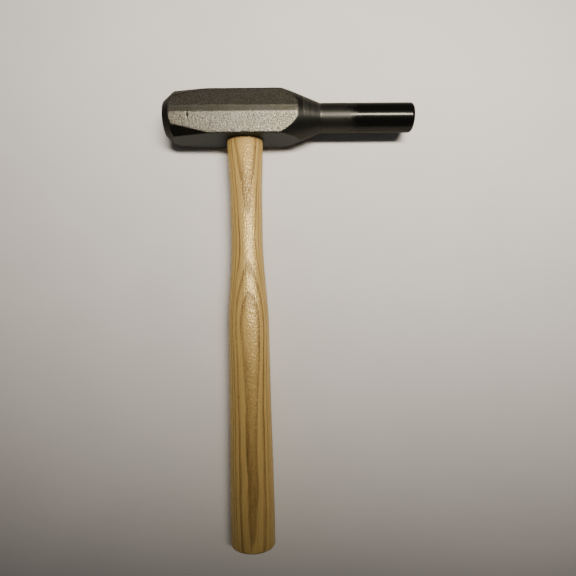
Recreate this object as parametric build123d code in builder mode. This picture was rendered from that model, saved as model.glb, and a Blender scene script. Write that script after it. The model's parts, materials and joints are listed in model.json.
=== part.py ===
# A blacksmith's handled round punch, hung like a hammer and struck like one.
# A forged steel head carries a struck face at one end and a round punch at the other.
# An ash handle runs through an oval eye and is spread there by one wooden and two steel wedges.
#
# The tool lies on its cheek, as it is put down on a bench.
# +X is the way the punch points, the handle runs towards -Y, and +Z is up.
# The origin is under the middle of the tool's bounding box, on the surface that it rests on.
from build123d import *

import os
from math import atan, cos, pi, radians, sin, sqrt, tan

# ---- driving dimensions, millimetres and degrees ----

# The head, along the punch's axis
head_length = 220.0
punch_diameter = 25.4
punch_length = 83.0
punch_tip_radius = 3.0
shoulder_angle = 20.0
shoulder_blend_radius = 3.0
shoulder_crown = 0.45
struck_face_diameter = 31.0
struck_bevel_angle = 36.0
struck_bevel_crown = 0.25
struck_edge_radius = 1.0

# The head, across the punch's axis: width is along the handle, height is from cheek to cheek
head_width = 40.0
ridge_height = 40.8
corner_height = 33.2
flash_width = 5.8
corner_radius = 1.5

# The four corners are planed off towards the struck end, from where the cut runs out.
# At chamfer_full it has gone this far down the side and this far in along the cheek.
# The two corners on the butt's side were planed deeper than the two on the far side.
chamfer_runs_out = 41.5
chamfer_full = 9.0
chamfer_down_butt_side = 7.4
chamfer_down_far_side = 5.0
chamfer_in_cheek = 7.4

# The eye is an oval that flares from its waist to both mouths: length along the punch, height
eye_from_struck_face = 70.0
eye_near_mouth = (32.0, 21.0)
eye_waist = (31.2, 20.2)
eye_far_mouth = (33.6, 22.4)
eye_mouth_chamfer = 1.0

# The handle's oval at both ends of its neck, at its swell and at its butt:
# reach from the punch's axis, width, thickness
handle_sections = (
    (75.0, 28.5, 20.2),
    (108.0, 28.0, 20.0),
    (190.0, 35.6, 25.6),
    (371.5, 37.8, 27.4),
)
handle_loft_steps = 32
handle_cant = 1.0
butt_crown_radius = 120.0
butt_edge_radius = 3.0
tongue_proud = 2.5
tongue_edge_chamfer = 0.8

# The wedges are driven into the tongue's sawn end: steel sizes are width by thickness
kerf_width = 1.6
kerf_depth = 38.0
wooden_wedge_depth = 32.0
wooden_wedge_top = 4.8
steel_wedge_depth = 22.0
steel_wedge_head = (16.0, 3.2)
steel_wedge_toe = (14.0, 0.8)
steel_wedge_offset = 7.6
steel_wedge_turn = 60.0

# ---- sizes that follow ----

half_length = head_length / 2
half_width = head_width / 2
punch_radius = punch_diameter / 2
struck_radius = struck_face_diameter / 2
shoulder_x = half_length - punch_length
eye_x = eye_from_struck_face - half_length
handle_reach = handle_sections[-1][0]
tongue_top = half_width + tongue_proud
cant_slope = tan(radians(handle_cant))

# A radius that clears every corner of the forging and every section of the handle
clear_radius = 32.0


def handle_size(reach):
    """Width and thickness of the handle at this reach, eased from one driving section to the next."""
    near = (half_width, *eye_near_mouth)
    for far in handle_sections:
        if reach <= far[0]:
            break
        near = far
    share = (reach - near[0]) / (far[0] - near[0])
    ease = (1 - cos(pi * share)) / 2
    width = near[1] + (far[1] - near[1]) * ease
    thickness = near[2] + (far[2] - near[2]) * ease
    return width, thickness


def crown_drop(radius):
    """How far the butt's dome has fallen away at this radius from its middle."""
    return butt_crown_radius - sqrt(butt_crown_radius**2 - radius**2)


# The tool rests on the near edge of the lower flash strip and on the grip just short of the
# butt's rounded rim.  The difference of their depths below the two axes, over the distance
# between them, tips it.
rest_thickness = handle_sections[-1][2]
rest_reach = handle_reach - crown_drop(rest_thickness / 2) - butt_edge_radius
rest_angle = atan((ridge_height - rest_thickness) / 2 / (rest_reach - flash_width / 2))
axis_height = ridge_height / 2 * cos(rest_angle) + flash_width / 2 * sin(rest_angle)
axis_y = (handle_reach - tongue_top) / 2 * cos(rest_angle)

# ---- planes and axes of the tool as it lies ----

# level holds the punch's axis as its x and the handle's way as its y.
level = Plane(
    origin=(0, axis_y, axis_height),
    x_dir=(1, 0, 0),
    z_dir=(0, -sin(rest_angle), cos(rest_angle)),
)
# across is square to the punch: its x is level's y, and its y is level's z.
across = Plane(origin=level.origin, x_dir=level.y_dir, z_dir=level.x_dir)
# outward is square to the handle and faces the butt: its x is level's x, its y is level's z.
outward = Plane(origin=level.origin, x_dir=level.x_dir, z_dir=-level.y_dir)
punch_axis = Axis(level.origin, level.x_dir)

# ---- the space inside the eye, which the head is cut by and the tongue fills ----

with BuildPart() as eye_space:
    for reach, size in ((-half_width, eye_far_mouth), (0, eye_waist), (half_width, eye_near_mouth)):
        with BuildSketch(outward.offset(reach)):
            with Locations((eye_x, 0)):
                Ellipse(size[0] / 2, size[1] / 2)
    loft()

# ---- punch_head: the forging, with struck end, shoulder and punch turned on one axis ----

struck_bevel_length = (clear_radius - struck_radius) / tan(radians(struck_bevel_angle))
shoulder_length = (clear_radius - punch_radius) / tan(radians(shoulder_angle))
cheek_slope = (ridge_height - corner_height) / (head_width - flash_width)

with BuildPart() as punch_head:
    # Two drafted cheek halves meet at a flat strip, where the forging's flash was ground off.
    with BuildSketch(across.offset(-half_length)) as forging_section:
        with BuildLine():
            Polyline(
                (flash_width / 2, ridge_height / 2),
                (half_width, corner_height / 2),
                (half_width, -corner_height / 2),
                (flash_width / 2, -ridge_height / 2),
                (-flash_width / 2, -ridge_height / 2),
                (-half_width, -corner_height / 2),
                (-half_width, corner_height / 2),
                (-flash_width / 2, ridge_height / 2),
                close=True,
            )
        make_face()
        side_corners = forging_section.vertices().filter_by(lambda point: abs(point.X) > flash_width)
        fillet(side_corners, corner_radius)
    extrude(amount=head_length)

    # One turned outline gives the bevel at the struck end, the shoulder and the punch.
    # The bevel and the shoulder were dressed on a belt, which leaves their flanks a little crowned.
    with BuildSketch(level) as turned_outline:
        with BuildLine():
            struck_face = Line((-half_length, 0), (-half_length, struck_radius))
            bevel = SagittaArc(
                struck_face @ 1,
                (-half_length + struck_bevel_length, clear_radius),
                struck_bevel_crown,
            )
            clearance = Line(bevel @ 1, (shoulder_x - shoulder_length, clear_radius))
            shoulder = SagittaArc(clearance @ 1, (shoulder_x, punch_radius), shoulder_crown)
            Polyline(shoulder @ 1, (half_length, punch_radius), (half_length, 0), struck_face @ 0)
        make_face()
        for place, radius in (
            ((-half_length, struck_radius), struck_edge_radius),
            ((shoulder_x, punch_radius), shoulder_blend_radius),
            ((half_length, punch_radius), punch_tip_radius),
        ):
            fillet(turned_outline.vertices().sort_by_distance(place)[0], radius)
    revolve(axis=punch_axis, mode=Mode.INTERSECT)

    # A plane through three points trims each corner: where the cut runs out on the corner and,
    # near the struck end, how far it has gone down the side and in along the cheek.
    for side, down_side in ((-1, chamfer_down_butt_side), (1, chamfer_down_far_side)):
        for cheek in (-1, 1):
            corner = (-half_length + chamfer_runs_out, side * half_width, cheek * corner_height / 2)
            on_side = (
                -half_length + chamfer_full,
                side * half_width,
                cheek * (corner_height / 2 - down_side),
            )
            on_cheek = (
                -half_length + chamfer_full,
                side * (half_width - chamfer_in_cheek),
                cheek * (corner_height / 2 + chamfer_in_cheek * cheek_slope),
            )
            start = level.from_local_coords(Vector(*corner))
            low = level.from_local_coords(Vector(*on_side))
            high = level.from_local_coords(Vector(*on_cheek))
            inward = (high - start).cross(low - start) * side * cheek
            split(bisect_by=Plane(start, z_dir=inward), keep=Keep.TOP)

    # The eye, with a chamfer round each mouth
    add(eye_space.part, mode=Mode.SUBTRACT)
    for side in (-1, 1):
        mouth_centre = level.from_local_coords(Vector(eye_x, side * half_width, 0))
        mouth = punch_head.edges().filter_by(
            lambda edge: (edge.center(CenterOf.BOUNDING_BOX) - mouth_centre).length < 1
        )
        chamfer(mouth, eye_mouth_chamfer)
punch_head.part.label = "punch_head"

# ---- steel wedges: thin tapered plates, driven aslant across the wooden one ----

steel_wedges = []
for name, offset_side in (("steel_wedge_struck_side", -1), ("steel_wedge_punch_side", 1)):
    with BuildPart() as steel_wedge:
        for depth, size in ((0, steel_wedge_head), (steel_wedge_depth, steel_wedge_toe)):
            with BuildSketch(outward.offset(depth - tongue_top)):
                with Locations((eye_x + offset_side * steel_wedge_offset, 0)):
                    Rectangle(*size, rotation=steel_wedge_turn)
        loft()
    steel_wedge.part.label = name
    steel_wedges.append(steel_wedge.part)

# ---- tongue: the end of the handle that fills the eye, before it is sawn ----

with BuildPart() as tongue:
    add(eye_space.part)
    with BuildSketch(outward.offset(-half_width)):
        with Locations((eye_x, 0)):
            Ellipse(eye_far_mouth[0] / 2, eye_far_mouth[1] / 2)
    extrude(amount=-tongue_proud)
    tongue_end = tongue.faces().sort_by(Axis(level.origin, level.y_dir))[-1]
    chamfer(tongue_end.edges(), tongue_edge_chamfer)

# ---- wooden_wedge: it spans the eye's length and spreads the tongue towards the cheeks ----

with BuildPart() as wooden_wedge:
    with BuildSketch(across.offset(eye_x - clear_radius)):
        with BuildLine():
            Polyline(
                (tongue_top, wooden_wedge_top / 2),
                (tongue_top - wooden_wedge_depth, kerf_width / 2),
                (tongue_top - wooden_wedge_depth, -kerf_width / 2),
                (tongue_top, -wooden_wedge_top / 2),
                close=True,
            )
        make_face()
    extrude(amount=2 * clear_radius)
    add(tongue.part, mode=Mode.INTERSECT)
    for wedge in steel_wedges:
        add(wedge, mode=Mode.SUBTRACT)
wooden_wedge.part.label = "wooden_wedge"

# ---- handle: an ash grip and its sawn tongue, in one piece of wood ----

butt_x = eye_x + (handle_reach - half_width) * cant_slope

with BuildPart() as handle:
    for step in range(handle_loft_steps + 1):
        reach = half_width + (handle_reach - half_width) * step / handle_loft_steps
        width, thickness = handle_size(reach)
        with BuildSketch(outward.offset(reach)):
            with Locations((eye_x + (reach - half_width) * cant_slope, 0)):
                Ellipse(width / 2, thickness / 2)
    loft()

    # The butt is domed, and its rim is rounded over.
    with BuildSketch(level):
        with BuildLine():
            crown = RadiusArc(
                (butt_x, -handle_reach),
                (butt_x + clear_radius, -handle_reach + crown_drop(clear_radius)),
                -butt_crown_radius,
            )
            Polyline(crown @ 1, (butt_x + clear_radius, 0), (butt_x, 0), crown @ 0)
        make_face()
    revolve(axis=Axis(level.from_local_coords(Vector(butt_x, 0, 0)), level.y_dir), mode=Mode.INTERSECT)
    butt_crown = handle.faces().sort_by(Axis(level.origin, level.y_dir))[0]
    fillet(butt_crown.edges(), butt_edge_radius)

    # The tongue is sawn down its middle, a little deeper than the wooden wedge goes.
    add(tongue.part)
    with BuildSketch(outward.offset(-tongue_top)):
        with Locations((eye_x, 0)):
            Rectangle(2 * clear_radius, kerf_width)
    extrude(amount=kerf_depth, mode=Mode.SUBTRACT)
    for wedge in (wooden_wedge.part, *steel_wedges):
        add(wedge, mode=Mode.SUBTRACT)
handle.part.label = "handle"

# ---- one STEP file for each piece ----

os.makedirs("parts", exist_ok=True)
for piece in (punch_head.part, handle.part, wooden_wedge.part, *steel_wedges):
    export_step(piece, f"parts/{piece.label}.step")
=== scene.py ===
import json
import math

import bpy
import numpy as np
from mathutils import Matrix, Vector, noise


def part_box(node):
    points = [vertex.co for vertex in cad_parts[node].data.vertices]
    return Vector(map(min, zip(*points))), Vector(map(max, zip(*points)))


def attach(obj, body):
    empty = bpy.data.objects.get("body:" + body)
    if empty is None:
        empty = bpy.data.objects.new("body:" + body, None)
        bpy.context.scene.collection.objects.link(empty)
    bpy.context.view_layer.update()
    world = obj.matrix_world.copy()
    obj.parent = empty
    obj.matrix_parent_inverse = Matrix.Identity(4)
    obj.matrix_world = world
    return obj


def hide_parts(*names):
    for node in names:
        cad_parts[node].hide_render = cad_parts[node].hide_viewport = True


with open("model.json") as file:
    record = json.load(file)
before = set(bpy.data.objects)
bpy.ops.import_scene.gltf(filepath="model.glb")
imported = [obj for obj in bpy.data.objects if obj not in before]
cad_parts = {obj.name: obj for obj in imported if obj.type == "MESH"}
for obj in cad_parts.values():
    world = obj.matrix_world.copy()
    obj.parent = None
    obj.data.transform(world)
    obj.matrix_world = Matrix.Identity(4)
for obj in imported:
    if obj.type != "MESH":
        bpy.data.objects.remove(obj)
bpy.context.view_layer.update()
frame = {"nodes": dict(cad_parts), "record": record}

MM = 0.001
BODY = "root"

steel_wedge_nodes = ("steel_wedge_struck_side", "steel_wedge_punch_side")
wedge_nodes = ("wooden_wedge", *steel_wedge_nodes)

# ---- where the tool lies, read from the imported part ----

mounts = {mount["name"]: mount for mount in frame["record"]["mounts"]}
head_low, head_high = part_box("punch_head")

punch_radius = mounts["punch"]["dims"]["r_mm"] * MM
axis_point = Vector(mounts["struck_face"]["pos_m"])
half_length = (head_high.x - head_low.x) / 2
rest_normal = Vector(mounts["lower_cheek_strip"]["axis"])
rest_angle = math.atan2(rest_normal.y, -rest_normal.z)

# Local axes of the tool: x along the punch, y along the handle away from the butt, z through
# the cheeks.  The local origin is on the punch's axis, midway along the head.
tool_frame = Matrix.Translation((0, axis_point.y, axis_point.z)) @ Matrix.Rotation(rest_angle, 4, "X")

# ---- the head's and the handle's own sizes, as the CAD part has them ----

# Outermost faces are kept this far inside the CAD part, for the unevenness that is added to them
inset = 0.02 * MM

struck_radius = 15.5 * MM
struck_edge_radius = 1.0 * MM
struck_bevel_angle = math.radians(36.0)
struck_bevel_crown = 0.25 * MM
shoulder_angle = math.radians(20.0)
shoulder_crown = 0.45 * MM
punch_length = 83.0 * MM
punch_tip_radius = 3.0 * MM
half_width = 20.0 * MM
half_ridge = 20.4 * MM - inset
half_corner = 16.6 * MM
half_flash = 2.9 * MM
clear_radius = 32.0 * MM
chamfer_runs_out = 41.5 * MM
chamfer_full = 9.0 * MM
chamfer_down_side = {-1: 7.4 * MM, 1: 5.0 * MM}
chamfer_in_cheek = 7.4 * MM
# How far each kind of edge is rounded over
strip_edge = 0.06 * MM
side_edge = 1.6 * MM
chamfer_edge = 0.5 * MM
turned_edge = 0.35 * MM
shoulder_x = half_length - punch_length

eye_x = 70.0 * MM - half_length
eye_near_mouth = (32.0 * MM, 21.0 * MM)
eye_waist = (31.2 * MM, 20.2 * MM)
eye_far_mouth = (33.6 * MM, 22.4 * MM)
eye_chamfer = 1.0 * MM

# Distance from the middle of the head, width and thickness
handle_sections = (
    (half_width, *eye_near_mouth),
    (75.0 * MM, 28.5 * MM, 20.2 * MM),
    (108.0 * MM, 28.0 * MM, 20.0 * MM),
    (190.0 * MM, 35.6 * MM, 25.6 * MM),
    (371.5 * MM - 2 * inset, 37.8 * MM, 27.4 * MM),
)
handle_reach = handle_sections[-1][0]
cant_slope = math.tan(math.radians(1.0))
butt_crown_radius = 120.0 * MM
butt_edge_radius = 3.0 * MM
tongue_top = 22.5 * MM - inset
tongue_chamfer = 0.8 * MM
slot_clearance = 0.04 * MM
wooden_wedge_softening = 0.15 * MM
steel_wedge_softening = 0.25 * MM

# Where the punch's finish changes, where the painted glint on the lathe lines begins, and how the
# handle's rings lie, in millimetres
punch_starts = 27.0
punch_blend = 3.0
polish_starts = 53.0
lathe_glint_from = 11.0
pith_climb = 0.0096
ring_spacing = 1.15


# ---- mesh helpers ----

def mesh_object(name, vertices, faces, placed=tool_frame):
    """A smooth-shaded mesh object, modelled in the tool's local axes and laid where the tool lies."""
    mesh = bpy.data.meshes.new(name)
    mesh.from_pydata([tuple(v) for v in vertices], [], faces)
    mesh.transform(placed)
    mesh.update()
    mesh.shade_smooth()
    piece = bpy.data.objects.new(name, mesh)
    bpy.context.scene.collection.objects.link(piece)
    return piece


def closed_rings(rings, first_pole, last_pole):
    """Vertices and faces of a closed skin over rings of points, with a pole point at each end."""
    count = rings.shape[1]
    vertices = np.concatenate([[first_pole], rings.reshape(-1, 3), [last_pole]])
    last = len(vertices) - 1
    faces = []
    for j in range(count):
        after = (j + 1) % count
        faces.append((0, 1 + after, 1 + j))
        for i in range(rings.shape[0] - 1):
            near, far = 1 + i * count, 1 + (i + 1) * count
            faces.append((near + j, near + after, far + after, far + j))
        tail = 1 + (rings.shape[0] - 1) * count
        faces.append((last, tail + j, tail + after))
    return vertices, faces


def smooth_min(a, b, width):
    """The smaller of a and b, with the crease between them rounded over about this width."""
    share = np.clip(0.5 + 0.5 * (b - a) / width, 0, 1)
    return b * (1 - share) + a * share - width * share * (1 - share)


def smooth_step(value, low, high):
    """Rise from 0 to 1 as the value goes from low to high, level at both ends."""
    share = np.clip((value - low) / (high - low), 0, 1)
    return share * share * (3 - 2 * share)


def cut_away(piece, cutter):
    """Subtract the cutter from the piece for good."""
    modifier = piece.modifiers.new("cut", "BOOLEAN")
    modifier.operation = "DIFFERENCE"
    modifier.solver = "EXACT"
    modifier.object = cutter
    bpy.context.view_layer.objects.active = piece
    bpy.ops.object.modifier_apply(modifier=modifier.name)
    bpy.data.objects.remove(cutter)


# ---- head ----

HEAD_TURNS = 256
EYE_TURNS = 96
# Metres: the reach of a flat face in a direction that never meets it
FAR_AWAY = 1.0
# Spacing of the rings, from the finest, over the tool marks, to the widest, along the punch
finest, fine, plain, coarse = 0.2 * MM, 0.5 * MM, 1.0 * MM, 1.3 * MM
face_ring_shares = (0.3, 0.6, 0.85)
tip_ring_shares = (0.8, 0.55, 0.3)
struck_edge_steps = 5
tip_steps = 7

# Tool marks round the narrow end of the cone
grooves_from = 11.5 * MM
groove_pitch = 1.7 * MM
groove_depth = 0.05 * MM
# A flaw in the upper cheek near the struck end: place along and across the head, size, depth
pit_place = (-87.0 * MM, -5.2 * MM)
pit_size = (0.5 * MM, 1.9 * MM)
pit_depth = 0.5 * MM
# How each part of the head looks, in the order cheek, strip, side, chamfer, cone, dull punch and
# polished punch.  Tones are shares of brightness, heights are relief in millimetres, and gloss is
# taken off the roughness of the bare walls of the eye.
finish_looks = {
    "bright": (0.130, 0.098, 0.055, 0.024, 0.028, 0.034, 0.022),
    "tone": (0.28, 0.45, 0.62, 0.62, 0.62, 0.62, 0.62),
    "speckle_tone": (0.95, 0.35, 0.14, 0.10, 0.10, 0.10, 0.04),
    "grinding_tone": (0, 0.42, 0.12, 0.12, 0, 0, 0),
    "turning_tone": (0, 0, 0, 0, 0.35, 0.30, 0.10),
    "gloss": (0.48, 0.48, 0.44, 0.54, 0.42, 0.39, 0.62),
    "speckle_height": (0.11, 0.03, 0.008, 0.003, 0.004, 0.003, 0.001),
    "grinding_height": (0, 0.03, 0.006, 0.004, 0, 0, 0),
    "turning_height": (0, 0, 0, 0, 0.014, 0.012, 0.003),
    "scuff_height": (0, 0, 0.010, 0.006, 0.006, 0.010, 0.004),
}
eye_wall_roughness = 0.80
# Length over which the polish comes in along the punch, and how far its edge wanders
polish_run = (-4.0, 9.0)
polish_wander = 5.0
forging_wave = 0.05 * MM
# How far one finish runs into the next, and how far the worn edge between them reaches
finish_blend = 0.12 * MM
edge_wear_reach = 0.12 * MM


def flank(run, start_radius, angle, crown):
    """Radius of a crowned cone, this far along the axis from the end where it is start_radius."""
    whole = (clear_radius - start_radius) / math.tan(angle)
    share = min(max(run / whole, 0), 1)
    return start_radius + run * math.tan(angle) + 4 * share * (1 - share) * crown / math.cos(angle)


def turning_groove(x):
    """Depth of the tool marks that were left round the narrow end of the shoulder."""
    if not grooves_from < x < shoulder_x - 1.5 * MM:
        return 0.0
    phase = (x - grooves_from) / groove_pitch
    return groove_depth * (0.5 - 0.5 * math.cos(2 * math.pi * phase)) ** 3


def turned_outline():
    """Places along the head's axis, and the turned radius at each, from struck face to tip."""
    places = []
    for share in face_ring_shares:
        places.append((-half_length, share * (struck_radius - struck_edge_radius)))
    turn = math.pi / 2 - struck_bevel_angle
    setback = struck_edge_radius * math.tan(turn / 2)
    for step in range(struck_edge_steps + 1):
        a = turn * step / struck_edge_steps
        places.append((
            -half_length + struck_edge_radius * (1 - math.cos(a)),
            struck_radius - setback + struck_edge_radius * math.sin(a),
        ))
    x = places[-1][0] + fine
    chamfer_end = -half_length + chamfer_runs_out + 4 * MM
    shoulder_start = shoulder_x - 42 * MM
    while x < half_length - punch_tip_radius - finest:
        bevel = flank(x + half_length, struck_radius, struck_bevel_angle, struck_bevel_crown)
        shoulder = flank(shoulder_x - x, punch_radius, shoulder_angle, shoulder_crown)
        radius = min(bevel, max(shoulder, punch_radius), clear_radius)
        places.append((x, radius - turning_groove(x)))
        if grooves_from - fine < x < shoulder_x + 2 * MM:
            x += finest
        elif x < chamfer_end or shoulder_start < x < shoulder_x:
            x += fine
        elif x < shoulder_start:
            x += plain
        else:
            x += coarse
    for step in range(tip_steps + 1):
        a = math.pi / 2 * step / tip_steps
        places.append((
            half_length - punch_tip_radius * (1 - math.sin(a)),
            punch_radius - punch_tip_radius * (1 - math.cos(a)),
        ))
    for share in tip_ring_shares:
        places.append((half_length, share * (punch_radius - punch_tip_radius)))
    return np.array(places)


def chamfer_plane(side, cheek):
    """Outward normal and distance of the plane that trims one corner at the struck end."""
    cheek_slope = (half_ridge - half_corner) / (half_width - half_flash)
    start = Vector((-half_length + chamfer_runs_out, side * half_width, cheek * half_corner))
    down_side = chamfer_down_side[side]
    low = Vector((-half_length + chamfer_full, side * half_width, cheek * (half_corner - down_side)))
    high = Vector((
        -half_length + chamfer_full,
        side * (half_width - chamfer_in_cheek),
        cheek * (half_corner + chamfer_in_cheek * cheek_slope),
    ))
    normal = (low - start).cross(high - start).normalized()
    if normal.dot(start) < 0:
        normal = -normal
    return normal, normal.dot(start)


def flat_reaches(x, along, up):
    """How far from the axis each kind of flat face lies, at every place and angle."""
    def reach(normal, distance):
        facing = normal[1] * along + normal[2] * up
        room = distance - normal[0] * x
        return np.where(facing > 1e-6, room / np.maximum(facing, 1e-6), FAR_AWAY)

    draft = Vector((0, half_ridge - half_corner, half_width - half_flash)).normalized()
    draft_distance = draft.y * half_flash + draft.z * half_ridge
    nowhere = np.full((x.shape[0], HEAD_TURNS), FAR_AWAY)
    cheeks, strips, sides, chamfers = nowhere, nowhere, nowhere, nowhere
    for cheek in (-1, 1):
        strips = np.minimum(strips, reach((0, 0, cheek), half_ridge))
        for side in (-1, 1):
            cheeks = np.minimum(cheeks, reach((0, side * draft.y, cheek * draft.z), draft_distance))
            chamfers = np.minimum(chamfers, reach(*chamfer_plane(side, cheek)))
    for side in (-1, 1):
        sides = np.minimum(sides, reach((0, side, 0), half_width))
    return {"cheek": cheeks, "strip": strips, "side": sides, "chamfer": chamfers}


def finish_shares(surfaces):
    """How much of each finish there is at every point: most of all, that of the innermost surface."""
    closest, second = np.sort(np.stack(list(surfaces.values())), axis=0)[:2]
    finishes = {}
    for name, surface in surfaces.items():
        finishes[name] = np.exp(-(surface - closest) / finish_blend)
    total = sum(finishes.values())
    for name in finishes:
        finishes[name] = finishes[name] / total
    finishes["edge"] = np.exp(-(second - closest) / edge_wear_reach)
    return finishes


def add_forging_waves(rings, finishes, radius):
    """Make the forged faces a little uneven, and leave the turned ones as they are."""
    forged = finishes["cheek"] + 0.6 * finishes["side"]
    for i in range(rings.shape[0]):
        for j in range(HEAD_TURNS):
            if forged[i, j] > 0.05:
                point = Vector(rings[i, j])
                wave = noise.noise(point * 90) + 0.5 * noise.noise(point * 260)
                rings[i, j, 1:] *= 1 + forged[i, j] * wave * forging_wave / radius[i, j]


def head_surface():
    """Rings of points over the forging, and how much of each finish there is at every point."""
    outline = turned_outline()
    x = outline[:, 0][:, None]
    turned = outline[:, 1][:, None] + np.zeros((1, HEAD_TURNS))
    angle = np.arange(HEAD_TURNS) * 2 * math.pi / HEAD_TURNS
    along, up = np.cos(angle)[None, :], np.sin(angle)[None, :]

    surfaces = flat_reaches(x, along, up)
    surfaces["turned"] = turned
    radius = smooth_min(surfaces["cheek"], surfaces["strip"], strip_edge)
    radius = smooth_min(radius, surfaces["side"], side_edge)
    radius = smooth_min(radius, surfaces["chamfer"], chamfer_edge)
    radius = smooth_min(radius, turned, turned_edge)
    finishes = finish_shares(surfaces)

    pit = np.exp(
        -((x - pit_place[0]) / pit_size[0]) ** 2 - ((radius * along - pit_place[1]) / pit_size[1]) ** 2
    ) * (up > 0)
    finishes["pit"] = pit
    radius = radius - pit_depth * pit
    rings = np.stack([x + 0 * radius, radius * along, radius * up], axis=-1)
    add_forging_waves(rings, finishes, radius)
    return rings, finishes


def punch_polish(rings):
    """How polished the punch is at each point: dull where the lathe left it, bright towards the tip."""
    along = rings[:, :, 0] / MM
    uneven = np.zeros(along.shape)
    for i in range(rings.shape[0]):
        if along[i, 0] > polish_starts - 3 * polish_wander:
            for j in range(HEAD_TURNS):
                uneven[i, j] = noise.fractal(Vector(rings[i, j]) * 260, 0.7, 2.0, 3)
    low, high = polish_run
    return smooth_step(along + polish_wander * uneven, polish_starts + low, polish_starts + high)


def head_looks(rings, finishes):
    """What the steel material reads at each point: every look, weighed by the finishes there."""
    on_punch = smooth_step(rings[:, :, 0] / MM, punch_starts, punch_starts + punch_blend)
    polish = punch_polish(rings)
    turned = finishes["turned"]
    cone = turned * (1 - on_punch)
    shares = [finishes[name] for name in ("cheek", "strip", "side", "chamfer")]
    shares += [cone, turned * on_punch * (1 - polish), turned * on_punch * polish]
    looks = {"cone": cone}
    for name in ("side", "turned", "edge", "pit"):
        looks[name] = finishes[name]
    for name, values in finish_looks.items():
        looks[name] = sum(share * value for share, value in zip(shares, values))
    return looks


def add_looks(piece, looks):
    """Store each look as a point attribute that the material reads."""
    for name, values in looks.items():
        attribute = piece.data.attributes.new(name, "FLOAT", "POINT")
        everything = np.concatenate([[values[0].mean()], values.reshape(-1), [values[-1].mean()]])
        attribute.data.foreach_set("value", everything.astype(np.float32))


def oval_rings(stations, turns):
    """Rings of an oval tube along the handle's way: each station is y, length, height, and centre x."""
    angle = np.arange(turns) * 2 * math.pi / turns
    rings = []
    for y, length, height, centre in stations:
        rings.append(np.stack([
            centre + length / 2 * np.cos(angle),
            np.full(turns, y),
            height / 2 * np.sin(angle),
        ], axis=-1))
    return np.array(rings)


def make_eye_cutter():
    """The oval eye, flared from its waist, with a chamfer at each mouth."""
    def grown(size, extra):
        return (size[0] + 2 * extra, size[1] + 2 * extra)

    beyond = 2 * MM
    stations = []
    for y, size in (
        (-half_width - beyond, grown(eye_near_mouth, eye_chamfer + beyond)),
        (-half_width + eye_chamfer, eye_near_mouth),
        (0, eye_waist),
        (half_width - eye_chamfer, eye_far_mouth),
        (half_width + beyond, grown(eye_far_mouth, eye_chamfer + beyond)),
    ):
        stations.append((y, *size, eye_x))
    rings = oval_rings(stations, EYE_TURNS)
    vertices, faces = closed_rings(rings, (eye_x, stations[0][0], 0), (eye_x, stations[-1][0], 0))
    return mesh_object("eye_cutter", vertices, faces)


def make_head():
    rings, finishes = head_surface()
    vertices, faces = closed_rings(rings, (-half_length, 0, 0), (half_length, 0, 0))
    head = mesh_object("forged_head", vertices, faces)
    add_looks(head, head_looks(rings, finishes))
    cut_away(head, make_eye_cutter())
    return head


# ---- handle ----

HANDLE_TURNS = 128
grip_ring_spacing = 2.0 * MM
# How far the grip's unevenness goes, and how much of the neck next to the head has none
sanding_wave = 0.12 * MM
even_neck = 4.0 * MM


def handle_size(reach):
    """Width and thickness of the handle at this reach, eased from one driving section to the next."""
    for near, far in zip(handle_sections, handle_sections[1:]):
        if reach <= far[0]:
            break
    share = min((reach - near[0]) / (far[0] - near[0]), 1)
    ease = (1 - math.cos(math.pi * share)) / 2
    return near[1] + (far[1] - near[1]) * ease, near[2] + (far[2] - near[2]) * ease


def crown_drop(radius):
    """How far the butt's dome has fallen away at this radius from its middle."""
    return butt_crown_radius - np.sqrt(butt_crown_radius**2 - radius**2)


def centre_at(reach):
    """Where the canted handle's middle line is, across the head, at this reach."""
    return eye_x + (reach - half_width) * cant_slope


def tongue_rings():
    """The tongue, from its chamfered sawn end to the near mouth of the eye."""
    far_length, far_height = eye_far_mouth
    top_length, top_height = far_length - 2 * tongue_chamfer, far_height - 2 * tongue_chamfer
    stations = []
    for share in (0.35, 0.7, 0.97):
        stations.append((tongue_top, top_length * share, top_height * share, eye_x))
    stations.append((tongue_top, top_length, top_height, eye_x))
    stations.append((tongue_top - tongue_chamfer, far_length, far_height, eye_x))
    stations.append((half_width - eye_chamfer, far_length, far_height, eye_x))
    stations.append((0, *eye_waist, eye_x))
    stations.append((-half_width + eye_chamfer, *eye_near_mouth, eye_x))
    return oval_rings(stations, HANDLE_TURNS)


def grip_rings():
    """The grip, from the head to where the butt's rounded rim begins."""
    stations = []
    reach = half_width
    last = handle_reach - butt_edge_radius - crown_drop(handle_sections[-1][1] / 2) - 0.5 * MM
    while reach < last:
        stations.append((-reach, *handle_size(reach), centre_at(reach)))
        reach += grip_ring_spacing
    return oval_rings(stations, HANDLE_TURNS)


def butt_rings():
    """The rounded rim and the dome: rings that shrink towards the middle of the butt."""
    angle = np.arange(HANDLE_TURNS) * 2 * math.pi / HANDLE_TURNS
    width, thickness = handle_size(handle_reach)
    edge = width * thickness / 4 / np.sqrt(
        (thickness / 2 * np.cos(angle)) ** 2 + (width / 2 * np.sin(angle)) ** 2
    )
    outlines = []
    for turn in np.linspace(0, math.pi / 2, 9):
        outlines.append(edge - butt_edge_radius * (1 - math.cos(turn)))
    for share in (0.75, 0.5, 0.25):
        outlines.append((edge - butt_edge_radius) * share)
    rings = []
    for radial in outlines:
        fallen = np.maximum(butt_edge_radius - (edge - radial), 0)
        rim = butt_edge_radius - np.sqrt(np.maximum(butt_edge_radius**2 - fallen**2, 0))
        rings.append(np.stack([
            centre_at(handle_reach) + radial * np.cos(angle),
            -handle_reach + crown_drop(radial) + rim,
            radial * np.sin(angle),
        ], axis=-1))
    return np.array(rings)


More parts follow.
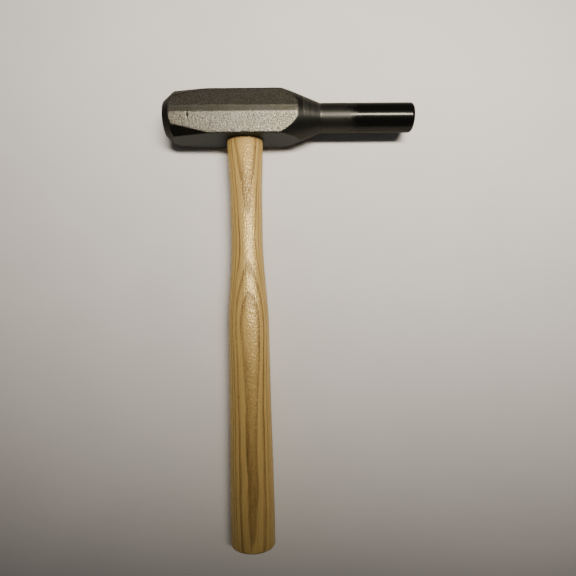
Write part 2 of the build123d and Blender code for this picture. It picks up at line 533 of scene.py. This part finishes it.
def add_sanding_waves(rings):
    """Make the grip a little uneven, as sanding and spokeshaving leave it."""
    for i in range(rings.shape[0]):
        for j in range(HANDLE_TURNS):
            point = Vector(rings[i, j])
            if point.y < -half_width - even_neck:
                centre = Vector((centre_at(-point.y), point.y, 0))
                outward = point - centre
                wave = noise.noise(Vector((point.x * 40, point.y * 14, point.z * 40)))
                rings[i, j] = centre + outward * (1 + sanding_wave * wave / outward.length)


def make_handle():
    """The grip and its tongue, as one skin of oval rings from the sawn end to the domed butt."""
    rings = np.concatenate([tongue_rings(), grip_rings(), butt_rings()])
    add_sanding_waves(rings)
    vertices, faces = closed_rings(
        rings, (eye_x, tongue_top, 0), (centre_at(handle_reach), -handle_reach, 0)
    )
    return mesh_object("ash_handle", vertices, faces)


# ---- wedges ----

def cad_copy(node, name):
    """A new object with its own copy of a CAD node's mesh."""
    piece = bpy.data.objects.new(name, frame["nodes"][node].data.copy())
    bpy.context.scene.collection.objects.link(piece)
    return piece


def make_wedge(node, name, softening):
    """A wedge with its sharp edges rounded over, inside the CAD wedge."""
    wedge = cad_copy(node, name)
    wedge.data.materials.clear()
    wedge.data.shade_smooth()
    weld = wedge.modifiers.new("weld", "WELD")
    weld.merge_threshold = 0.001 * MM
    bevel = wedge.modifiers.new("soften", "BEVEL")
    bevel.width = softening
    bevel.segments = 3
    bevel.limit_method = "ANGLE"
    bevel.angle_limit = math.radians(40)
    bevel.harden_normals = True
    return wedge


def cut_wedge_slots(handle):
    """Open the sawn end of the tongue for each wedge, with a hair of clearance round it."""
    for node in wedge_nodes:
        cutter = cad_copy(node, "slot_cutter")
        low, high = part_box(node)
        centre = (low + high) / 2
        room = high - low
        grow = [1 + 2 * slot_clearance / room[k] for k in range(3)]
        cutter.data.transform(
            Matrix.Translation(centre) @ Matrix.Diagonal((*grow, 1)) @ Matrix.Translation(-centre)
        )
        cut_away(handle, cutter)


# ---- materials: every size in them is in millimetres, along the tool's own axes ----

class Finish:
    """A material being built: short ways to add nodes to it and join them."""

    def __init__(self, name):
        self.material = bpy.data.materials.new(name)
        self.material.use_nodes = True
        self.tree = self.material.node_tree
        self.shader = self.tree.nodes["Principled BSDF"]
        self.local = None

    def put(self, socket, value):
        if isinstance(value, bpy.types.NodeSocket):
            self.tree.links.new(value, socket)
        else:
            socket.default_value = value

    def add(self, kind, **settings):
        node = self.tree.nodes.new(kind)
        for key, value in settings.items():
            setattr(node, key, value)
        return node

    def math(self, operation, first, second=0.0):
        node = self.add("ShaderNodeMath", operation=operation)
        self.put(node.inputs[0], first)
        self.put(node.inputs[1], second)
        return node.outputs[0]

    def total(self, *values):
        result = values[0]
        for value in values[1:]:
            result = self.math("ADD", result, value)
        return result

    def product(self, *values):
        result = values[0]
        for value in values[1:]:
            result = self.math("MULTIPLY", result, value)
        return result

    def attribute(self, name):
        return self.add("ShaderNodeAttribute", attribute_name=name).outputs["Fac"]

    def place(self):
        """The point in the tool's own axes, in millimetres from the middle of the head's axis."""
        if self.local is None:
            coordinates = self.add("ShaderNodeTexCoord").outputs["Object"]
            mapping = self.add("ShaderNodeMapping", vector_type="TEXTURE")
            self.put(mapping.inputs["Vector"], coordinates)
            mapping.inputs["Location"].default_value = (0, axis_point.y, axis_point.z)
            mapping.inputs["Rotation"].default_value = (rest_angle, 0, 0)
            mapping.inputs["Scale"].default_value = (MM, MM, MM)
            self.local = mapping.outputs["Vector"]
        return self.local

    def parts_of(self, vector):
        node = self.add("ShaderNodeSeparateXYZ")
        self.put(node.inputs[0], vector)
        return node.outputs

    def joined(self, x, y, z):
        node = self.add("ShaderNodeCombineXYZ")
        for socket, value in zip(node.inputs, (x, y, z)):
            self.put(socket, value)
        return node.outputs[0]

    def noise(self, cell, detail=2.0, roughness=0.5, vector=None):
        """Noise whose grains measure this many millimetres along x, y and z."""
        stretch = self.add("ShaderNodeVectorMath", operation="DIVIDE")
        self.put(stretch.inputs[0], vector or self.place())
        stretch.inputs[1].default_value = cell
        node = self.add("ShaderNodeTexNoise")
        self.put(node.inputs["Vector"], stretch.outputs[0])
        node.inputs["Scale"].default_value = 1.0
        node.inputs["Detail"].default_value = detail
        node.inputs["Roughness"].default_value = roughness
        return node.outputs["Fac"]

    def remap(self, value, low, high, to_low=0.0, to_high=1.0):
        """Ease the value from one range to another, and hold it at both ends."""
        node = self.add("ShaderNodeMapRange", interpolation_type="SMOOTHSTEP")
        self.put(node.inputs["Value"], value)
        node.inputs["From Min"].default_value = low
        node.inputs["From Max"].default_value = high
        self.put(node.inputs["To Min"], to_low)
        self.put(node.inputs["To Max"], to_high)
        return node.outputs["Result"]

    def blend(self, share, first, second):
        """Mix two colours."""
        node = self.add("ShaderNodeMix", data_type="RGBA")
        self.put(node.inputs["Factor"], share)
        for socket, colour in ((node.inputs[6], first), (node.inputs[7], second)):
            self.put(socket, colour if isinstance(colour, bpy.types.NodeSocket) else (*colour, 1.0))
        return node.outputs[2]

    def tinted(self, colour, strength):
        """The colour, made lighter or darker by a number."""
        node = self.add("ShaderNodeVectorMath", operation="SCALE")
        self.put(node.inputs[0], colour)
        self.put(node.inputs["Scale"], strength)
        return node.outputs[0]

    def relief(self, height):
        """Bump from a height in millimetres."""
        node = self.add("ShaderNodeBump")
        node.inputs["Strength"].default_value = 1.0
        node.inputs["Distance"].default_value = MM
        self.put(node.inputs["Height"], height)
        for socket in ("Normal", "Coat Normal"):
            self.put(self.shader.inputs[socket], node.outputs["Normal"])


# Tints of the oxide, the colour of bare steel on worn edges and of the painted glint on the lathe
# lines, and the colour of the bottom of the flaw
warm_oxide = (1.0, 0.92, 0.68)
cool_oxide = (1.0, 0.93, 0.76)
side_oxide = (0.92, 0.99, 1.0)
turned_oxide = (1.0, 0.96, 0.81)
bare_steel_and_glint = (0.30, 0.28, 0.24)
pit_black = (0.004, 0.0035, 0.003)
# How strongly steel shines where it is seen at a low angle
grazing_steel = (0.50, 0.49, 0.47, 1.0)
rolled_steel = (0.10, 0.09, 0.08)
burred_steel = (0.34, 0.33, 0.31)
# Each wood: its late and early growth, where its rings' middle line lies in millimetres across
# and through the handle, and how much lacquer there is on it
ash_look = ((0.50, 0.33, 0.104), (0.15, 0.074, 0.020), (-2.7, -34.85), 0.03)
wedge_wood_look = ((0.42, 0.27, 0.14), (0.24, 0.13, 0.06), (0.0, -20.0), 0.0)
pore_brown = (0.12, 0.065, 0.024)
lacquer_shine = (1.0, 0.76, 0.36, 1.0)
# Dark brown for the darker wood next to the head, and for the painted shadow in the mouth of the eye
shadow_and_darkening_brown = (0.10, 0.06, 0.03)
cloth_white = (0.76, 0.725, 0.68)


def steel_finish():
    """Dark oxide over forged steel: blasted cheeks, a ground strip, and turned ends."""
    f = Finish("forged_steel")
    x, y = f.parts_of(f.place())[:2]
    turned, edge, pit = f.attribute("turned"), f.attribute("edge"), f.attribute("pit")

    speckle = f.remap(f.noise((1.25, 1.25, 1.25), detail=3, roughness=0.7), 0.3, 0.7)
    mottling = f.noise((9, 9, 9), detail=3)
    clouds = f.noise((28, 16, 16), detail=2)
    grinding = f.noise((14, 0.35, 0.35), detail=3, roughness=0.6)
    around = f.joined(x, 0.0, 0.0)
    turning = f.noise((0.45, 1, 1), detail=3, roughness=0.6, vector=around)
    scuffs = f.noise((3.5, 1.2, 1.2), detail=4, roughness=0.7)

    variation = f.total(
        f.attribute("tone"),
        f.product(speckle, f.attribute("speckle_tone")),
        f.product(grinding, f.attribute("grinding_tone")),
        f.product(turning, f.attribute("turning_tone")),
        f.product(mottling, 0.25),
        f.product(clouds, 0.18),
    )
    tint = f.blend(f.remap(clouds, 0.35, 0.65), warm_oxide, cool_oxide)
    tint = f.blend(f.attribute("side"), tint, side_oxide)
    tint = f.blend(turned, tint, turned_oxide)
    oxide = f.tinted(tint, f.product(f.attribute("bright"), variation))
    patches = f.remap(f.noise((9, 4, 4), detail=4, roughness=0.6), 0.45, 0.75)
    worn = f.product(edge, patches, f.total(0.25, f.product(turned, 1.2)))
    # The lathe tool has left lines round the narrow end of the shoulder. They are painted bright only
    # on the side away from the handle, as a painted glint where the lamp catches them.
    lathe_lines_and_glint = f.product(
        f.attribute("cone"),
        f.remap(x, lathe_glint_from, lathe_glint_from + 1),
        f.remap(y, -7.0, -1.0),
        f.remap(turning, 0.50, 0.62, 0.0, 0.7),
    )
    # Worn edges show bare steel, and the lathe lines carry the painted glint.
    wear_and_glint = f.blend(f.math("MAXIMUM", worn, lathe_lines_and_glint), oxide, bare_steel_and_glint)
    colour = f.blend(f.remap(pit, 0.05, 0.4), wear_and_glint, pit_black)
    f.put(f.shader.inputs["Base Color"], colour)
    f.shader.inputs["Metallic"].default_value = 0.85
    f.shader.inputs["Specular Tint"].default_value = grazing_steel

    roughness = f.total(
        f.math("SUBTRACT", eye_wall_roughness, f.attribute("gloss")),
        f.product(f.math("SUBTRACT", mottling, 0.5), 0.05),
        f.product(f.math("SUBTRACT", turning, 0.5), turned, 0.16),
    )
    f.put(f.shader.inputs["Roughness"], roughness)

    f.relief(f.total(
        f.product(speckle, f.attribute("speckle_height")),
        f.product(grinding, f.attribute("grinding_height")),
        f.product(turning, f.attribute("turning_height")),
        f.product(scuffs, f.attribute("scuff_height")),
    ))
    return f.material


def ash_finish(name, pale, brown, pith, lacquer):
    """Ash sawn round a pith line that lies under the grip, so its rings run as lines and arches."""
    f = Finish(name)
    x, y, z = f.parts_of(f.place())
    # How far the point is down the handle from the head, and how far to the side of its middle
    along = f.math("SUBTRACT", f.math("MULTIPLY", y, -1.0), half_width / MM)
    centre = f.math("ADD", eye_x / MM, f.math("MULTIPLY", along, cant_slope))
    sideways = f.math("SUBTRACT", x, centre)

    # The pith line isn't straight: the rings sway across the handle, and waver a little in depth.
    sway = f.noise((30, 150, 30), detail=2)
    waver = f.noise((9, 60, 9), detail=2)
    across = f.total(sideways, -pith[0], f.product(f.math("SUBTRACT", sway, 0.5), 5.0))
    depth = f.total(
        z, -pith[1], f.product(along, -pith_climb), f.product(f.math("SUBTRACT", waver, 0.5), 0.9)
    )
    from_pith = f.math("SQRT", f.math("ADD", f.product(across, across), f.product(depth, depth)))
    rings = f.math("DIVIDE", from_pith, ring_spacing)
    uneven = f.noise((1, 1, 1), detail=1, vector=f.joined(f.math("MULTIPLY", rings, 0.8), 0.0, 0.0))
    # Each year starts with a band of open, darker wood, which fades out before the year is over.
    year = f.math("FRACT", f.math("ADD", rings, f.product(uneven, 0.9)))
    early = f.product(f.remap(year, 0.0, 0.10), f.remap(year, 0.13, 0.55, 1.0, 0.0))
    contrast = f.remap(f.noise((14, 130, 14), detail=2), 0.3, 0.7, 0.5, 1.0)

    fibre = f.noise((0.45, 16, 0.45), detail=3, roughness=0.6)
    threads = f.noise((1.3, 45, 1.3), detail=2)
    # Pores are short slits, most of them in the early wood.
    pores = f.remap(f.noise((0.42, 5.5, 0.42), detail=1), 0.60, 0.68)
    pores = f.product(pores, f.math("ADD", f.product(early, 0.85), 0.15))

    wood = f.blend(f.product(early, contrast), pale, brown)
    wood = f.tinted(wood, f.total(0.46, f.product(fibre, 0.42), f.product(threads, 0.64)))
    wood = f.blend(f.product(pores, 0.6), wood, pore_brown)
    # The wood is darker next to the head. From the mouth of the eye on, over the tongue and its wedge
    # too, a painted shadow makes it nearly black.
    darker_near_head = f.remap(along, 0.0, 7.0, 0.35, 0.0)
    painted_mouth_shadow = f.remap(along, 0.6, 2.6, 0.95, 0.0)
    wood = f.blend(f.math("MAXIMUM", darker_near_head, painted_mouth_shadow), wood, shadow_and_darkening_brown)
    f.put(f.shader.inputs["Base Color"], wood)
    f.put(f.shader.inputs["Roughness"], f.total(0.26, f.product(early, 0.12), f.product(pores, 0.2)))
    f.shader.inputs["IOR"].default_value = 1.5
    f.shader.inputs["Coat Weight"].default_value = lacquer
    f.shader.inputs["Coat Roughness"].default_value = 0.12
    f.shader.inputs["Specular IOR Level"].default_value = 1.0
    f.shader.inputs["Specular Tint"].default_value = lacquer_shine
    # The lacquer has dried a little wavy.
    orange_peel = f.noise((1.2, 2.2, 1.2), detail=1, roughness=0.5)
    f.relief(f.total(
        f.product(fibre, 0.02),
        f.product(pores, -0.10),
        f.product(early, -0.02),
        f.product(orange_peel, 0.34),
    ))
    return f.material


def wedge_steel_finish():
    """A driven steel wedge: dark rolled sides, and a head burred bright by the hammer."""
    f = Finish("wedge_steel")
    y = f.parts_of(f.place())["Y"]
    struck = f.remap(y, tongue_top / MM - 1.0, tongue_top / MM - 0.1)
    grain = f.noise((0.6, 3, 0.6), detail=3, roughness=0.6)
    dents = f.noise((2.2, 2.2, 2.2), detail=2)
    tone = f.total(0.75, f.product(grain, 0.3), f.product(dents, 0.2))
    colour = f.tinted(f.blend(struck, rolled_steel, burred_steel), tone)
    f.put(f.shader.inputs["Base Color"], colour)
    f.shader.inputs["Metallic"].default_value = 1.0
    f.put(f.shader.inputs["Roughness"], f.total(0.34, f.product(grain, 0.16)))
    f.relief(f.total(f.product(grain, 0.012), f.product(dents, 0.06)))
    return f.material


def cloth_finish():
    """The pale sheet of cloth under the tool, with a faint weave."""
    f = Finish("pale_cloth")
    weave = f.noise((0.7, 0.7, 0.7), detail=2)
    stains = f.noise((60, 60, 60), detail=3)
    tone = f.total(0.90, f.product(weave, 0.06), f.product(stains, 0.10))
    f.put(f.shader.inputs["Base Color"], f.tinted(cloth_white, tone))
    f.shader.inputs["Roughness"].default_value = 0.9
    f.shader.inputs["Specular IOR Level"].default_value = 0.2
    f.relief(f.product(weave, 0.08))
    return f.material


# ---- the pieces, each riding on the one body and standing for its CAD node ----

def join_frame(piece, node, finish):
    piece.data.materials.clear()
    piece.data.materials.append(finish)
    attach(piece, BODY)
    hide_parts(node)


join_frame(make_head(), "punch_head", steel_finish())

ash_handle = make_handle()
cut_wedge_slots(ash_handle)
ash = ash_finish("lacquered_ash", *ash_look)
join_frame(ash_handle, "handle", ash)

dry_wood = ash_finish("wedge_wood", *wedge_wood_look)
hardwood_wedge = make_wedge("wooden_wedge", "hardwood_wedge", wooden_wedge_softening)
join_frame(hardwood_wedge, "wooden_wedge", dry_wood)

wedge_steel = wedge_steel_finish()
for node in steel_wedge_nodes:
    join_frame(make_wedge(node, node + "_plate", steel_wedge_softening), node, wedge_steel)

# ---- stage: a pale cloth floor, soft light from above, and the camera ----

floor_half = 3.0
camera_place = (-0.0028, -0.00395, 0.3674)
camera_tilt = math.radians(4.28)
camera_turn = math.radians(-0.52)
focal_length = 25.0
sensor_width = 36.0
# The lamp is narrow along the handle and long along the head
lamp_place = (0.30, 0.22, 1.1)
lamp_target = (0.06, 0.26, 0)
lamp_size = (0.12, 0.8)
lamp_power = 3.15
lamp_spread = math.radians(54)
lamp_colour = (1.0, 0.94, 0.85)
# The room's light near the horizon and overhead, and the heights where it starts and ends fading
horizon_strength = 0.17
overhead_strength = 0.05
fade_from, fade_to = 0.05, 0.50
room_colour = (0.95, 0.97, 1.0, 1)


def make_floor():
    signs = ((-1, -1), (1, -1), (1, 1), (-1, 1))
    corners = [(x_sign * floor_half, y_sign * floor_half, 0) for x_sign, y_sign in signs]
    floor = mesh_object("floor", corners, [(0, 1, 2, 3)], Matrix.Identity(4))
    floor.data.materials.append(cloth_finish())


def make_lamp():
    light = bpy.data.lights.new("window", "AREA")
    light.shape = "RECTANGLE"
    light.size, light.size_y = lamp_size
    light.energy = lamp_power
    light.color = lamp_colour
    light.spread = lamp_spread
    lamp = bpy.data.objects.new("window", light)
    lamp.location = lamp_place
    lamp.rotation_euler = (Vector(lamp_target) - Vector(lamp_place)).to_track_quat("-Z", "Y").to_euler()
    bpy.context.scene.collection.objects.link(lamp)


def make_camera():
    """The camera stands over the middle of the tool and looks a little towards the head."""
    camera = bpy.data.cameras.new("camera")
    camera.sensor_width = sensor_width
    camera.lens = focal_length
    view = bpy.data.objects.new("camera", camera)
    view.matrix_world = (
        Matrix.Translation(camera_place)
        @ Matrix.Rotation(camera_turn, 4, "Z")
        @ Matrix.Rotation(camera_tilt, 4, "X")
    )
    bpy.context.scene.collection.objects.link(view)
    bpy.context.scene.camera = view


def make_world():
    """A dim room, paler towards the horizon than overhead."""
    world = bpy.data.worlds.new("world")
    world.use_nodes = True
    tree = world.node_tree
    direction = tree.nodes.new("ShaderNodeTexCoord").outputs["Generated"]
    split = tree.nodes.new("ShaderNodeSeparateXYZ")
    tree.links.new(direction, split.inputs[0])
    fade = tree.nodes.new("ShaderNodeMapRange")
    fade.interpolation_type = "SMOOTHSTEP"
    tree.links.new(split.outputs["Z"], fade.inputs["Value"])
    fade.inputs["From Min"].default_value = fade_from
    fade.inputs["From Max"].default_value = fade_to
    fade.inputs["To Min"].default_value = horizon_strength
    fade.inputs["To Max"].default_value = overhead_strength
    tree.links.new(fade.outputs["Result"], tree.nodes["Background"].inputs["Strength"])
    tree.nodes["Background"].inputs["Color"].default_value = room_colour
    bpy.context.scene.world = world


make_floor()
make_world()
make_camera()
make_lamp()
